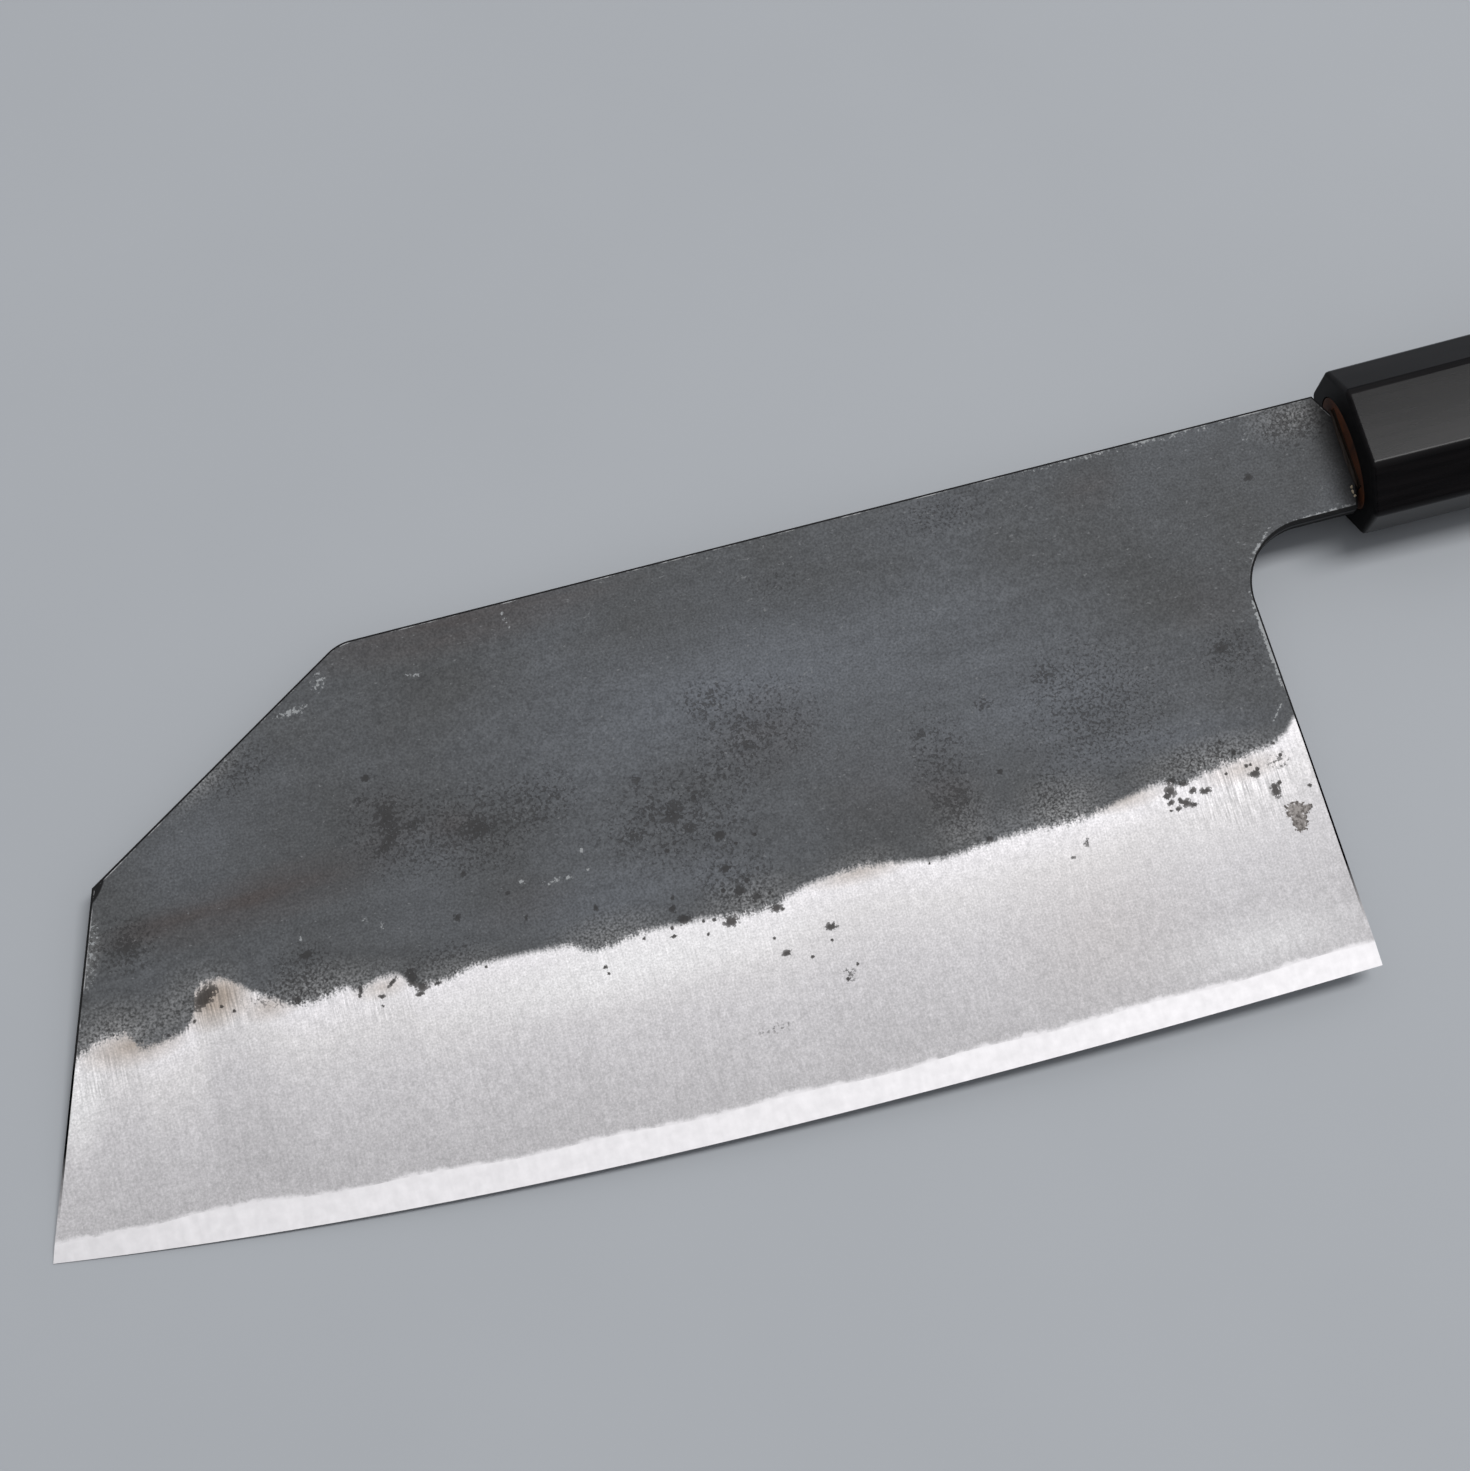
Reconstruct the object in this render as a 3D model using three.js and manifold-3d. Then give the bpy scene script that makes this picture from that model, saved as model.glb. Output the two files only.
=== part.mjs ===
// Bunka kitchen knife: a three-layer forged blade on a hidden tang, in an octagonal handle.
// Millimetres. +X runs to the butt of the handle, +Y to the spine and +Z out of the left face.
// The blade is drawn from the handle's axis, at the front face of the ferrule, and the finished
// knife is then set with the centre of its footprint over the origin, lying on its right side.
import * as THREE from 'three';
import { mergeVertices } from 'three/addons/utils/BufferGeometryUtils.js';
import Module from 'manifold-3d';

const wasm = await Module();
wasm.setup();

// Blade outline
const TIP_REACH = 210.7; // front face of the ferrule to the tip
const HEEL_SETBACK = 19.2; // front face of the ferrule to the heel's corner
const HEEL_LEAN = 1.1; // how much further forward the heel's line is at its top
const SPINE_RISE = 9.5; // handle axis up to the spine
const EDGE_DROP = 76.1; // handle axis down to the lowest point of the cutting edge
const BELLY_SETBACK = 65; // front face of the ferrule to that lowest point
const TIP_RISE = 8.3; // how far the edge climbs from there to the tip
const HEEL_RISE = 0.6; // how far it climbs to the heel
const BELLY_POWER = 2.55; // how late the climb to the tip starts
const FRONT_HEIGHT = 50.5; // tip up to the lower corner of the clipped point
const FRONT_LEAN = 15.6; // how far that corner stands behind the tip
const CLIP_RUN = 42.1; // length of the clip along the blade
const CLIP_ROUND = 2; // easing of the corner between clip and spine
const NECK_DROP = 9.1; // handle axis down to the underside of the neck
const CHOIL_RADIUS = 10; // hollow between the neck and the heel
const SHOULDER_GAP_SPINE = 2.2; // neck to ferrule, at the spine
const SHOULDER_GAP_EDGE = 1; // neck to ferrule, at the underside

// Blade thickness
const NECK_THICKNESS = 3.6; // spine at the ferrule
const FRONT_THICKNESS = 2; // spine, carried on to the tip
const FACE_TAPER = 0.25; // thinning of each side from the spine to the ground bevel
const GRIND_DROP = 42; // handle axis down to the top of the ground bevel
const CORE_THICKNESS = 0.7; // hard steel layer
const CORE_SHOW = 4.25; // height of bare core along the edge, at its tallest
const CORE_TIP_SHOW = 2.2; // the same at the tip
const CORE_TIP_RUN = 20; // length over which it grows from the tip
const CORE_HEEL_SHOW = 3.5; // the same at the heel
const CORE_HEEL_RUN = 150; // length over which it grows from the heel
const WELD_RIPPLE = 0.2; // wave of the weld line along the bevel
const RIPPLE_LENGTH = 26;

// Tang
const TANG_LENGTH = 98; // front face of the ferrule to the end of the tang
const TANG_ROOT_HEIGHT = 11;
const TANG_END_HEIGHT = 7;
const TANG_END_THICKNESS = 2.4;

// Handle
const HANDLE_LENGTH = 144; // ferrule and grip together
const FERRULE_LENGTH = 32;
const HANDLE_HEIGHT = 24; // octagon at the ferrule's face
const HANDLE_THICKNESS = 20;
const BUTT_HEIGHT = 26; // octagon at the butt
const BUTT_THICKNESS = 22;
const CORNER_CUT = 5.9; // what each sloping flat takes off a side
const RIM_EASE = 0.4; // eased front rim of the ferrule
const BUTT_EASE = 1.5; // eased rim of the butt
const TENON_HEIGHT = 18; // oval tenon in the ferrule's mouth
const TENON_THICKNESS = 11.4;

// Clearances
const GLUE_LINE = 0.15; // wood to horn
const RESIN_WALL = 0.9; // tang to the side of its slot
const BOND_GAP = 0.1; // each side of the cured resin

// Construction
const TRIM = 5; // how far a cutting shape stands past what it cuts
const STATIONS = 80; // sections along the blade
const OVAL_SIDES = 48;
const CHOIL_SIDES = 20;

const CORE_HALF = CORE_THICKNESS / 2;
const TIP_DROP = EDGE_DROP - TIP_RISE;
const { clamp, lerp, mapLinear } = THREE.MathUtils;

// Closed skin over rings of points, which all have the same number of points in the same order
function loft(rings) {
  const count = rings[0].length;
  const positions = rings.flat().flatMap((point) => point.toArray());
  const triangles = [];
  for (let ring = 0; ring < rings.length - 1; ring += 1) {
    for (let side = 0; side < count; side += 1) {
      const a = ring * count + side;
      const b = ring * count + ((side + 1) % count);
      triangles.push(a, b, b + count, a, b + count, a + count);
    }
  }
  const flat = rings[0].map((point) => new THREE.Vector2(point.y, point.z));
  const last = (rings.length - 1) * count;
  for (const [a, b, c] of THREE.ShapeUtils.triangulateShape(flat, [])) {
    triangles.push(a, c, b, last + a, last + b, last + c);
  }
  const geometry = new THREE.BufferGeometry();
  geometry.setAttribute('position', new THREE.Float32BufferAttribute(positions, 3));
  geometry.setIndex(triangles);
  return geometry;
}

// Ring of points standing across the knife at one place along it
function ring(x, outline) {
  return outline.map(([y, z]) => new THREE.Vector3(x, y, z));
}

function toSolid(geometry) {
  const bare = geometry.clone();
  bare.deleteAttribute('normal');
  bare.deleteAttribute('uv');
  const merged = mergeVertices(bare);
  const vertProperties = new Float32Array(merged.attributes.position.array);
  const triVerts = new Uint32Array(merged.index.array);
  return new wasm.Manifold(new wasm.Mesh({ numProp: 3, vertProperties, triVerts }));
}

function toGeometry(solid) {
  const mesh = solid.getMesh();
  const geometry = new THREE.BufferGeometry();
  geometry.setAttribute('position', new THREE.BufferAttribute(mesh.vertProperties, 3));
  geometry.setIndex(new THREE.BufferAttribute(mesh.triVerts, 1));
  geometry.computeVertexNormals();
  return geometry;
}

// Height of the cutting edge at a place along the blade: flat at the belly, climbing both ways
function edgeAt(x) {
  if (x < -BELLY_SETBACK) {
    const share = (-BELLY_SETBACK - x) / (TIP_REACH - BELLY_SETBACK);
    return -EDGE_DROP + TIP_RISE * share ** BELLY_POWER;
  }
  const share = (x + BELLY_SETBACK) / (BELLY_SETBACK - HEEL_SETBACK);
  return -EDGE_DROP + HEEL_RISE * Math.min(share, 1) ** 2;
}

// Height of the weld line, where the cladding has been ground away from the core
function weldAt(x) {
  const fromTip = clamp((x + TIP_REACH) / CORE_TIP_RUN, 0, 1);
  const fromHeel = clamp((-HEEL_SETBACK - x) / CORE_HEEL_RUN, 0, 1);
  const front = lerp(CORE_TIP_SHOW, CORE_SHOW, fromTip);
  const back = lerp(CORE_HEEL_SHOW, CORE_SHOW, fromHeel);
  const ripple = Math.cos((2 * Math.PI * (x + TIP_REACH / 2)) / RIPPLE_LENGTH);
  return edgeAt(x) + Math.min(front, back) + WELD_RIPPLE * ripple;
}

// Half the blade's thickness on the unground part of its face, or half the tang's
function halfThickness(x, y) {
  const taper = (FACE_TAPER * (SPINE_RISE - y)) / (SPINE_RISE + GRIND_DROP);
  if (x > 0) {
    return mapLinear(x, 0, TANG_LENGTH, NECK_THICKNESS / 2, TANG_END_THICKNESS / 2) - taper;
  }
  return mapLinear(x, -TIP_REACH, 0, FRONT_THICKNESS / 2, NECK_THICKNESS / 2) - taper;
}

// Places along the knife at which the layers have a section
function layerStations() {
  const stations = [];
  for (let step = 0; step <= STATIONS; step += 1) {
    stations.push(lerp(-TIP_REACH - TRIM, -HEEL_SETBACK + TRIM, step / STATIONS));
  }
  stations.push(0, TANG_LENGTH + TRIM);
  return stations;
}

// The blade and tang seen from the left face, with room to spare below the cutting edge
function bladeOutline() {
  const bottom = -EDGE_DROP - TRIM;
  const heelSlope = HEEL_LEAN / (EDGE_DROP - HEEL_RISE - NECK_DROP - CHOIL_RADIUS);
  const heelTop = -HEEL_SETBACK - HEEL_LEAN;
  const clipLow = new THREE.Vector2(-TIP_REACH + FRONT_LEAN, -TIP_DROP + FRONT_HEIGHT);
  const clipHigh = new THREE.Vector2(clipLow.x + CLIP_RUN, SPINE_RISE);
  const clipEase = clipLow.clone().sub(clipHigh).setLength(CLIP_ROUND).add(clipHigh);
  const overhang = (TRIM + TIP_RISE) * (FRONT_LEAN / FRONT_HEIGHT);
  const outline = new THREE.Shape();
  outline.moveTo(-TIP_REACH - overhang, bottom);
  outline.lineTo(-HEEL_SETBACK + heelSlope * (TRIM + HEEL_RISE), bottom);
  outline.lineTo(heelTop, -NECK_DROP - CHOIL_RADIUS);
  outline.absarc(heelTop + CHOIL_RADIUS, -NECK_DROP - CHOIL_RADIUS, CHOIL_RADIUS, Math.PI, Math.PI / 2, true);
  outline.lineTo(-SHOULDER_GAP_EDGE, -NECK_DROP);
  outline.lineTo(0, -TANG_ROOT_HEIGHT / 2);
  outline.lineTo(TANG_LENGTH, -TANG_END_HEIGHT / 2);
  outline.lineTo(TANG_LENGTH, TANG_END_HEIGHT / 2);
  outline.lineTo(0, TANG_ROOT_HEIGHT / 2);
  outline.lineTo(-SHOULDER_GAP_SPINE, SPINE_RISE);
  outline.lineTo(clipHigh.x + CLIP_ROUND, SPINE_RISE);
  outline.quadraticCurveTo(clipHigh.x, clipHigh.y, clipEase.x, clipEase.y);
  outline.lineTo(clipLow.x, clipLow.y);
  outline.closePath();
  return outline;
}

// A layer of the blade: its sections along the knife, trimmed to the outline
function bladeLayer(section) {
  const depth = NECK_THICKNESS + 2 * TRIM;
  const prism = new THREE.ExtrudeGeometry(bladeOutline(), {
    depth,
    bevelEnabled: false,
    curveSegments: CHOIL_SIDES,
  });
  prism.translate(0, 0, -depth / 2);
  const skin = loft(layerStations().map((x) => ring(x, section(x))));
  return toGeometry(toSolid(skin).intersect(toSolid(prism)));
}

function coreSection(x) {
  const top = SPINE_RISE + TRIM;
  const weld = weldAt(x);
  return [[top, CORE_HALF], [weld, CORE_HALF], [edgeAt(x), 0], [weld, -CORE_HALF], [top, -CORE_HALF]];
}

function leftSection(x) {
  const top = SPINE_RISE + TRIM;
  return [
    [top, CORE_HALF],
    [top, halfThickness(x, top)],
    [-GRIND_DROP, halfThickness(x, -GRIND_DROP)],
    [weldAt(x), CORE_HALF],
  ];
}

function rightSection(x) {
  return leftSection(x).map(([y, z]) => [y, -z]).reverse();
}

// The handle's octagon, growing from the ferrule's face to the butt
function octagon(x, inset = 0) {
  const growth = x / (HANDLE_LENGTH - BUTT_EASE);
  const y = lerp(HANDLE_HEIGHT, BUTT_HEIGHT, growth) / 2 - inset;
  const z = lerp(HANDLE_THICKNESS, BUTT_THICKNESS, growth) / 2 - inset;
  const cut = CORNER_CUT - inset * (2 - Math.SQRT2);
  return [
    [y, z - cut], [y - cut, z], [cut - y, z], [-y, z - cut],
    [-y, cut - z], [cut - y, -z], [y - cut, -z], [y, cut - z],
  ];
}

// Oval bar along the knife, from one place to another
function ovalBar(start, end, height, thickness) {
  const oval = new THREE.Shape();
  oval.absellipse(0, 0, thickness / 2, height / 2, 0, 2 * Math.PI, false, 0);
  const bar = new THREE.ExtrudeGeometry(oval, {
    depth: end - start,
    bevelEnabled: false,
    curveSegments: OVAL_SIDES,
  });
  return bar.rotateY(Math.PI / 2).translate(start, 0, 0);
}

// Tapered bar that holds the tang with room to spare on every side, open towards the blade
function tangRoom(start, room) {
  const box = (x) => {
    const y = mapLinear(x, 0, TANG_LENGTH, TANG_ROOT_HEIGHT / 2, TANG_END_HEIGHT / 2) + room;
    const z = mapLinear(x, 0, TANG_LENGTH, NECK_THICKNESS / 2, TANG_END_THICKNESS / 2) + room;
    return [[y, -z], [y, z], [-y, z], [-y, -z]];
  };
  const end = TANG_LENGTH + room;
  return loft([ring(start, box(start)), ring(end, box(end))]);
}

function ferruleGeometry() {
  const block = loft([
    ring(0, octagon(0, RIM_EASE)),
    ring(RIM_EASE, octagon(RIM_EASE)),
    ring(FERRULE_LENGTH, octagon(FERRULE_LENGTH)),
  ]);
  const mouth = ovalBar(
    -TRIM,
    FERRULE_LENGTH + TRIM,
    TENON_HEIGHT + 2 * GLUE_LINE,
    TENON_THICKNESS + 2 * GLUE_LINE,
  );
  return toGeometry(toSolid(block).subtract(toSolid(mouth)));
}

function bodyGeometry() {
  const front = FERRULE_LENGTH + GLUE_LINE;
  const grip = loft([
    ring(front, octagon(front)),
    ring(HANDLE_LENGTH - BUTT_EASE, octagon(HANDLE_LENGTH - BUTT_EASE)),
    ring(HANDLE_LENGTH, octagon(HANDLE_LENGTH, BUTT_EASE)),
  ]);
  const tenon = ovalBar(0, front + TRIM, TENON_HEIGHT, TENON_THICKNESS);
  const slot = tangRoom(-TRIM, RESIN_WALL);
  return toGeometry(toSolid(grip).add(toSolid(tenon)).subtract(toSolid(slot)));
}

function resinGeometry() {
  const fill = tangRoom(0, RESIN_WALL - BOND_GAP);
  const hollow = tangRoom(-TRIM, BOND_GAP);
  return toGeometry(toSolid(fill).subtract(toSolid(hollow)));
}

function piece(name, geometry, colour, roughness, metalness) {
  const material = new THREE.MeshStandardMaterial({ color: colour, roughness, metalness });
  const mesh = new THREE.Mesh(geometry, material);
  mesh.name = name;
  return mesh;
}

const knife = new THREE.Group();
knife.add(
  piece('core_steel', bladeLayer(coreSection), 0xe4e4e6, 0.35, 1),
  piece('left_cladding', bladeLayer(leftSection), 0x63666a, 0.6, 0.8),
  piece('right_cladding', bladeLayer(rightSection), 0x63666a, 0.6, 0.8),
  piece('horn_ferrule', ferruleGeometry(), 0x1a1819, 0.3, 0),
  piece('handle_body', bodyGeometry(), 0x4a2c1a, 0.5, 0),
  piece('tang_resin', resinGeometry(), 0xb9a27a, 0.4, 0),
);
knife.position.set(
  (TIP_REACH - HANDLE_LENGTH) / 2,
  (EDGE_DROP - BUTT_HEIGHT / 2) / 2,
  BUTT_THICKNESS / 2,
);

const part = new THREE.Group();
part.add(knife);

export default part;
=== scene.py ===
# %% [markdown]
# # A forged kitchen knife, dressed over its CAD solids
#
# The knife has a tall blade of three forge-welded layers, a black horn ferrule
# and an octagonal wooden handle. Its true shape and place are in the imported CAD
# model, so that is loaded first and never moved. Every piece in this lesson is a
# welded copy of one CAD solid, with the small roundings and the surface finish
# that a plain solid lacks.

import math

import bmesh
import bpy
import numpy
from mathutils import Matrix, Vector, noise


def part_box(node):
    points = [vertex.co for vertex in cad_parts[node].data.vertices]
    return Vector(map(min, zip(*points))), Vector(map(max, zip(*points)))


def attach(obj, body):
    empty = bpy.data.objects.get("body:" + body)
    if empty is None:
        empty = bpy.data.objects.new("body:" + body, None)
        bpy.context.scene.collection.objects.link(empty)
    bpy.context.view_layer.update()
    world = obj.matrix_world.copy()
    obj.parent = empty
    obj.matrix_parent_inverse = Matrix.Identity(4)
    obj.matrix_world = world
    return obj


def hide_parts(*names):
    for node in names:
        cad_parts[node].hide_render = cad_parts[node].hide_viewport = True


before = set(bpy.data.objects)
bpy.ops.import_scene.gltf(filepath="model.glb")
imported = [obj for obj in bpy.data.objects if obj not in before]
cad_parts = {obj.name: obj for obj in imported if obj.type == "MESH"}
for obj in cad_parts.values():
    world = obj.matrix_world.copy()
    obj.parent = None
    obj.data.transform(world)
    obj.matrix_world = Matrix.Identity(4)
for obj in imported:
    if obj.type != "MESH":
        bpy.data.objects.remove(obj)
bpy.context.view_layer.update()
MM = 0.001

# %% [markdown]
# ## One ruler for the whole lesson
#
# Places could be given in the frame's own metres, but nobody measures a knife
# like that. Here they are millimetres from the middle of the ferrule's front
# face: along the knife towards the butt, up towards the spine, and out of the
# left face. The ferrule's box in the frame says where that point is.

# %% Measure from the front face of the ferrule
ferrule_low, ferrule_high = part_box("horn_ferrule")
ferrule_middle = (ferrule_low + ferrule_high) / 2
MOUTH = Vector((ferrule_low.x, ferrule_middle.y, ferrule_middle.z))


def spot(along, up, out):
    """Point of the frame from millimetres along the knife, up to its spine and out of its left face."""
    return MOUTH + MM * Vector((along, up, out))


print("Ferrule's mouth in the frame, mm:", [round(part / MM, 2) for part in MOUTH])

# %% [markdown]
# ## The camera
#
# The photograph looks down on the left face, leaning back about 15 degrees and
# turned about 15 degrees, so that the blade runs up to the right. Its place was
# solved from the octagon of the ferrule, the handle's long edges and the straight
# spine. A lens of 61 mm on a 36 mm sensor gives the same mild perspective.

# %% Set the camera
IMAGE_SIDE = 1471
FOCAL_PIXELS = 2500
SENSOR = 36
CAMERA_PLACE = (-123.51, -109.25, 353.74)
CAMERA_TURN = (14.787, 0.063, -14.9)
camera_data = bpy.data.cameras.new("photo_camera")
camera_data.sensor_width = SENSOR
camera_data.lens = SENSOR * FOCAL_PIXELS / IMAGE_SIDE
camera = bpy.data.objects.new("photo_camera", camera_data)
camera.location = spot(*CAMERA_PLACE)
camera.rotation_euler = [math.radians(turn) for turn in CAMERA_TURN]
bpy.context.scene.collection.objects.link(camera)
bpy.context.scene.camera = camera
bpy.context.scene.view_settings.view_transform = "Standard"
print("Lens in mm:", round(camera_data.lens, 2))

# %% [markdown]
# ## Colours and nodes
#
# Colours are picked as the hex codes that a screen shows, while shaders work in
# linear light, so one function turns codes into linear colours. A second one
# adds any shader node: it sets the node's own settings, fills or links its
# inputs, and hands back one output, ready to be linked into the next node.

# %% Colour and node helpers
def colour(code):
    """Linear colour from an sRGB hex code."""
    parts = [int(code[place:place + 2], 16) / 255 for place in (1, 3, 5)]
    linear = [part / 12.92 if part <= 0.04045 else ((part + 0.055) / 1.055) ** 2.4 for part in parts]
    return (*linear, 1)


def add(tree, kind, inputs, result=0, **settings):
    """Adds a shader node with its settings and inputs, and gives back one of its outputs."""
    made = tree.nodes.new("ShaderNode" + kind)
    for name, value in settings.items():
        setattr(made, name, value)
    for key, value in inputs.items():
        if isinstance(value, bpy.types.NodeSocket):
            tree.links.new(value, made.inputs[key])
        else:
            made.inputs[key].default_value = value
    return made.outputs[result] if made.outputs else None


def new_finish(name):
    """Empty material, and its node tree."""
    material = bpy.data.materials.new(name)
    material.use_nodes = True
    material.node_tree.nodes.clear()
    return material, material.node_tree


def knife_place(tree):
    """Place on the knife in millimetres from the ferrule's mouth, for patterns to read."""
    here = add(tree, "TexCoord", {}, "Object")
    ruler = {"Vector": here, "Location": MOUTH, "Scale": (MM, MM, MM)}
    return add(tree, "Mapping", ruler, vector_type="TEXTURE")


print("Photo grey in linear light:", [round(part, 3) for part in colour("#a9adb2")])

# %% [markdown]
# ## The table
#
# The knife lies on its right side. The handle is thicker than the blade, so it
# does not lie flat: a corner of the ferrule and the point of the blade touch the
# table, and the heel stands a few millimetres over it, which is why the shadow
# along the edge widens towards the heel. The CAD frame is square to the knife,
# so here it is the table that tilts. It is a painted board, very faintly cloudy,
# and far from the knife its rim curves up, so that low views have a pale backdrop.

# %% Lay the table
TABLE_RADIUS = 3
RIM_RISE = 0.8
RIM_STEPS = 12
CLOUD_SIZE = 60
table_paint, tree = new_finish("matt_grey_board")
clouds = add(tree, "TexNoise", {"Vector": knife_place(tree), "Scale": 1 / CLOUD_SIZE, "Detail": 3})
shade = add(tree, "Mix", {0: clouds, 6: colour("#9b9ea2"), 7: colour("#a0a3a7")}, 2, data_type="RGBA")
board = add(tree, "BsdfPrincipled", {"Base Color": shade, "Roughness": 0.7, "Specular IOR Level": 0.2})
add(tree, "OutputMaterial", {"Surface": board})

ferrule_corner = spot(0.75, -5.36, -10.02)
under_point = spot(-210, -65.45, -0.36)
under_heel = spot(-32, -76, -5)
table_up = (under_point - ferrule_corner).cross(under_heel - ferrule_corner).normalized()
turn = Vector((0, 0, 1)).rotation_difference(table_up)
shape = bmesh.new()
bmesh.ops.create_circle(shape, cap_ends=True, radius=TABLE_RADIUS, segments=96)
table_rim = shape.edges[:]
for step in range(1, RIM_STEPS + 1):
    lean = math.radians(90 * step / RIM_STEPS)
    grown = bmesh.ops.extrude_edge_only(shape, edges=table_rim)["geom"]
    for part in grown:
        if isinstance(part, bmesh.types.BMVert):
            part.co = part.co.xy.normalized().to_3d() * (TABLE_RADIUS + RIM_RISE * math.sin(lean))
            part.co.z = RIM_RISE * (1 - math.cos(lean))
        if isinstance(part, bmesh.types.BMFace):
            part.smooth = True
    table_rim = [part for part in grown if isinstance(part, bmesh.types.BMEdge) and part.is_boundary]
bmesh.ops.rotate(shape, verts=shape.verts, matrix=turn.to_matrix())
bmesh.ops.translate(shape, verts=shape.verts, vec=ferrule_corner)
table_mesh = bpy.data.meshes.new("table")
shape.to_mesh(table_mesh)
shape.free()
table_mesh.materials.append(table_paint)
table = bpy.data.objects.new("table", table_mesh)
bpy.context.scene.collection.objects.link(table)
print("Table tilt in degrees:", round(math.degrees(turn.angle), 2))

# %% [markdown]
# ## The light
#
# One softbox hangs high over the table, a little towards the spine and the
# handle: the shadows are short, soft and on the side of the edge. The room gives
# the rest of the light. It is brightest overhead and dark on the viewer's side,
# which is why the lower sloping flat of the polished ferrule looks black. The
# world's strength follows the direction, and that is enough to make such a room.

# %% Hang the softbox and shade the room
SOFTBOX_PLACE = (780, 310, 2200)
SOFTBOX_TURN = (-8.8, 21.8, 0)
BRIGHT_SIDE = (0.5, 0.35, 0.79)
softbox_data = bpy.data.lights.new("softbox", "AREA")
softbox_data.shape = "RECTANGLE"
softbox_data.size = 1.4
softbox_data.size_y = 0.56
softbox_data.energy = 41.5
softbox = bpy.data.objects.new("softbox", softbox_data)
softbox.location = spot(*SOFTBOX_PLACE)
softbox.rotation_euler = [math.radians(turn) for turn in SOFTBOX_TURN]
bpy.context.scene.collection.objects.link(softbox)

room = bpy.data.worlds.new("studio_room")
room.use_nodes = True
room.node_tree.nodes.clear()
tree = room.node_tree
facing = add(tree, "TexCoord", {}, "Generated")
height = add(tree, "VectorMath", {0: facing, 1: BRIGHT_SIDE}, "Value", operation="DOT_PRODUCT")
level = add(tree, "MapRange", {"Value": height, 1: -0.2, 2: 0.9, 3: 0.02, 4: 0.8})
wall = add(tree, "Background", {"Color": colour("#f4f6fa"), "Strength": level})
add(tree, "OutputWorld", {"Surface": wall})
bpy.context.scene.world = room
print("Softbox power in W:", softbox_data.energy)

# %% [markdown]
# ## From CAD solid to piece
#
# A CAD node arrives as loose triangles. A copy is welded, and triangles that lie
# in one plane are joined, so that each flat is a single face again and each
# corner a single edge that bevel can round. Every finished piece rides on the
# knife's one body, hides its CAD node and gets a material of its own.

# %% Copying and finishing helpers
WELD = 0.002 * MM  # points closer than this become one
FLAT = math.radians(0.2)  # faces that turn less than this become one


def welded_copy(node, joined=True):
    """Welded bmesh of a CAD solid, with each flat joined to one face or left in triangles."""
    copy = bmesh.new()
    copy.from_mesh(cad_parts[node].data)
    bmesh.ops.remove_doubles(copy, verts=copy.verts, dist=WELD)
    if joined:
        bmesh.ops.dissolve_limit(copy, angle_limit=FLAT, verts=copy.verts, edges=copy.edges)
    copy.normal_update()
    return copy


def finish_piece(shape, name, node, material, sharp):
    """Turns a bmesh into a finished piece for a CAD node, with a crease at angles over sharp degrees."""
    open_edges = sum(not edge.is_manifold for edge in shape.edges)
    mesh = bpy.data.meshes.new(name)
    shape.to_mesh(mesh)
    shape.free()
    # The solid's own normals would undo the smoothing
    if "custom_normal" in mesh.attributes:
        mesh.attributes.remove(mesh.attributes["custom_normal"])
    mesh.materials.clear()
    mesh.materials.append(material)
    mesh.shade_smooth()
    mesh.set_sharp_from_angle(angle=math.radians(sharp))
    piece = bpy.data.objects.new(name, mesh)
    bpy.context.scene.collection.objects.link(piece)
    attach(piece, "root")
    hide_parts(node)
    print(name, "faces:", len(mesh.polygons), "open edges:", open_edges)
    return piece


print("CAD solids to copy:", len(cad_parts))

# %% [markdown]
# ## The shape of a cladding layer
#
# Each side of the blade is a layer of soft iron, welded to the hard core. On the
# solid its outline is a knife-sharp corner, but a smith files that off. Bevel
# would fail here, because the layer thins to nothing at the weld line. So only
# the outer skin of the copy is kept, two insets run along its outline, and these
# rings are lowered into a rounded corner that fades out where the layer thins.

# %% Ease the outline of a cladding's skin
RINGS = ((0.34, 0.3), (0.14, 0.05))  # width and drop of each ring, from the outline inwards
FULL_LAYER = 0.9  # thickness of the layer from which on the rings drop fully


def eased_skin(node, side, inner):
    """Outer skin of a cladding with a rounded outline; its face attribute says how near the rim a face is."""
    shape = welded_copy(node)
    inward = [face for face in shape.faces if side * face.normal.z < 0.5]
    bmesh.ops.delete(shape, geom=inward, context="FACES")
    rim = shape.faces.layers.float.new("rim")
    skin = list(shape.faces)
    rings = []
    for nearness, (width, _) in zip((2, 1), RINGS):
        ring = bmesh.ops.inset_region(
            shape, faces=skin, thickness=width * MM, use_boundary=True, use_even_offset=True,
        )
        rings.append(ring["faces"])
        for face in ring["faces"]:
            face[rim] = nearness
    outline = {vert for vert in shape.verts if vert.is_boundary}
    second = {vert for face in rings[0] for vert in face.verts} - outline
    for verts, (_, drop) in zip((outline, second), RINGS):
        for vert in verts:
            height = side * (vert.co.z - inner) / MM
            vert.co.z -= side * drop * min(height / FULL_LAYER, 1) ** 2 * MM
    return shape


print("Width of the eased outline in mm:", round(sum(width for width, _ in RINGS), 2))

# %% [markdown]
# ## Forged faces are not dead flat
#
# Hammer and press leave the unground face with a slow wave of a few hundredths
# of a millimetre. The skin is cut into a grid so that it can carry the wave, with
# one bisect per grid line. Then the outline is extruded down to the core and the
# flat side that is welded to it is filled, which closes the layer.

# %% Build both claddings' shapes
GRID = 2  # millimetres, as are the top and the wave
GRID_COLUMNS = 105
GRID_ROWS = 42
GRID_TOP = 10
WAVE_LENGTH = 17
WAVE_HEIGHT = 0.05


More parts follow.
